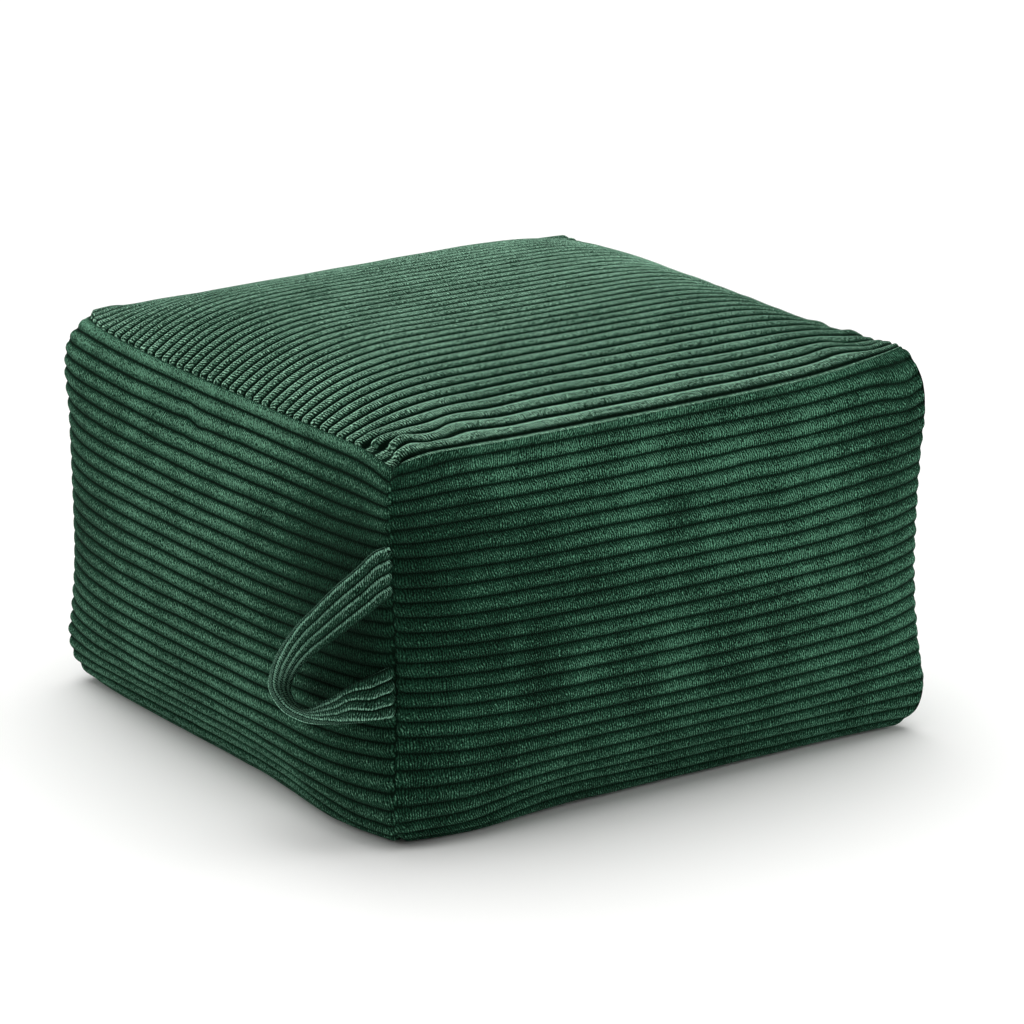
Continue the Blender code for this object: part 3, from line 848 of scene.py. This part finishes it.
def smooth_route(rows, count):
    """Evenly spaced stations on a smooth curve through the route's rows."""
    rows = np.array(rows)
    middles = rows.mean(axis=1)
    steps = np.linalg.norm(np.diff(middles, axis=0), axis=1)
    place = np.concatenate([[0.0], np.cumsum(steps)])
    slope = np.gradient(rows, place, axis=0)
    at = np.linspace(0.0, place[-1], count)
    i = np.clip(np.searchsorted(place, at, side="right") - 1, 0, len(place) - 2)
    width = (place[i + 1] - place[i])[:, None, None]
    t = (at - place[i])[:, None, None] / width
    start = (2 * t**3 - 3 * t**2 + 1) * rows[i] + (t**3 - 2 * t**2 + t) * width * slope[i]
    end = (3 * t**2 - 2 * t**3) * rows[i + 1] + (t**3 - t**2) * width * slope[i + 1]
    return start + end


def strap():
    """The strap: four ribs on each face, lofted along its route, its ends rounded off rib by rib."""
    stations = smooth_route(STRAP_ROUTE, STRAP_STATIONS)
    middles = stations.mean(axis=1)
    half_widths = (stations[:, 0] - stations[:, 1]) / 2
    tangents = np.gradient(middles, axis=0)
    tangents /= np.linalg.norm(tangents, axis=1)[:, None]
    normals = np.cross(half_widths, tangents)
    normals /= np.linalg.norm(normals, axis=1)[:, None]
    length = np.linalg.norm(np.diff(middles, axis=0), axis=1).sum()
    along = np.linspace(0.0, 1.0, STRAP_STATIONS)
    from_end = np.minimum(along, 1 - along) * length
    loose = rounded(from_end / STRAP_LOOSE)
    thickness = STRAP_END_THICKNESS + loose * (STRAP_THICKNESS - STRAP_END_THICKNESS)
    closing = rounded(from_end / STRAP_ROUND)
    inward = np.where(along < 0.5, 1.0, -1.0) * np.clip(1 - from_end / STRAP_LOOSE, 0.0, 1.0)
    face_places = np.linspace(-1, 1, STRAP_RIBS * STRAP_RIB_POINTS + 1)
    outline = [(p, 1.0) for p in face_places] + [(p, -1.0) for p in face_places[::-1]]
    points, uv = [], []
    for i in range(STRAP_STATIONS):
        pleat = sum(
            amount * math.exp(-(((along[i] - at) / reach) ** 2)) for at, reach, amount in STRAP_PLEATS
        )
        for place, face in outline:
            rib = (place + 1) / 2 * STRAP_RIBS + pleat * (1 - place**2)
            frac = rib - math.floor(rib) - 0.5 if rib < STRAP_RIBS else 0.5
            bulge = (1 - abs(2 * frac) ** STRAP_FLATNESS[0]) ** STRAP_FLATNESS[1]
            height = (thickness[i] / 2 - (1 - bulge) * STRAP_RIB_HEIGHT) * closing[i]
            scallop = tangents[i] * (inward[i] * STRAP_SCALLOP * (2 * frac) ** 2)
            points.append(middles[i] + half_widths[i] * place + normals[i] * face * height + scallop)
            uv.append((along[i] * length, rib + (0 if face > 0 else STRAP_BACK)))
        points.append(points[-len(outline)])
        uv.append(uv[-len(outline)])
    return grid_mesh("handle_strap", np.array(points), STRAP_STATIONS, len(outline) + 1, np.array(uv))


made["handle_strap"] = strap()

CLOTHS = {
    "front_panel": front_cloth,
    "right_panel": front_cloth,
    "top_panel": top_cloth,
    "handle_strap": strap_cloth,
}
for name, piece in made.items():
    is_strap = name == "handle_strap"
    piece.data.materials.append(CLOTHS.get(name, side_cloth))
    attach(piece, "root")
    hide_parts("handle" if is_strap else "body")


# Floor, light and camera

def plain_material(name, colour, roughness):
    material = bpy.data.materials.new(name)
    material.use_nodes = True
    shader = material.node_tree.nodes["Principled BSDF"]
    shader.inputs["Base Color"].default_value = (*colour, 1.0)
    shader.inputs["Roughness"].default_value = roughness
    return material


bpy.ops.mesh.primitive_plane_add(size=FLOOR_SIZE, location=(0.0, 0.0, 0.0))
floor = bpy.context.object
floor.name = "floor"
floor.data.materials.append(plain_material("floor_paint", FLOOR_COLOUR, FLOOR_ROUGHNESS))

world = bpy.data.worlds.new("studio")
bpy.context.scene.world = world
world.use_nodes = True
background = world.node_tree.nodes["Background"]
background.inputs["Color"].default_value = WORLD_COLOUR
background.inputs["Strength"].default_value = WORLD_LIGHT


def add_lamp(name, kind, place, aim, power):
    data = bpy.data.lights.new(name, kind)
    data.energy = power
    lamp = bpy.data.objects.new(name, data)
    lamp.location = place
    lamp.rotation_mode = "QUATERNION"
    lamp.rotation_quaternion = (Vector(aim) - Vector(place)).to_track_quat("-Z", "Y")
    bpy.context.scene.collection.objects.link(lamp)
    return data


for name, place, size, power in SOFTBOXES:
    box = add_lamp(name, "AREA", place, SOFTBOX_AIM, power)
    box.shape = "SQUARE"
    box.size = size
for name, place, spread, power in SKY_LIGHTS:
    sky = add_lamp(name, "SUN", place, SKY_AIM, power)
    sky.angle = math.radians(spread)

bpy.context.scene.view_settings.view_transform = "Standard"

azimuth, elevation = math.radians(CAMERA_AZIMUTH), math.radians(CAMERA_ELEVATION)
back = Vector((
    math.sin(azimuth) * math.cos(elevation),
    -math.cos(azimuth) * math.cos(elevation),
    math.sin(elevation),
))
right = Vector((0.0, 0.0, 1.0)).cross(back).normalized()
up = back.cross(right)
aim = Vector((0.0, 0.0, CAMERA_AIM_HEIGHT)) + right * CAMERA_AIM_SIDE + up * CAMERA_AIM_RISE
camera_data = bpy.data.cameras.new("camera")
camera_data.lens = CAMERA_LENS
camera_data.sensor_width = CAMERA_SENSOR
camera_data.clip_end = 100.0
camera = bpy.data.objects.new("camera", camera_data)
turn = Matrix((right, up, back)).transposed().to_4x4()
camera.matrix_world = Matrix.Translation(aim + back * CAMERA_DISTANCE) @ turn
bpy.context.scene.collection.objects.link(camera)
bpy.context.scene.camera = camera
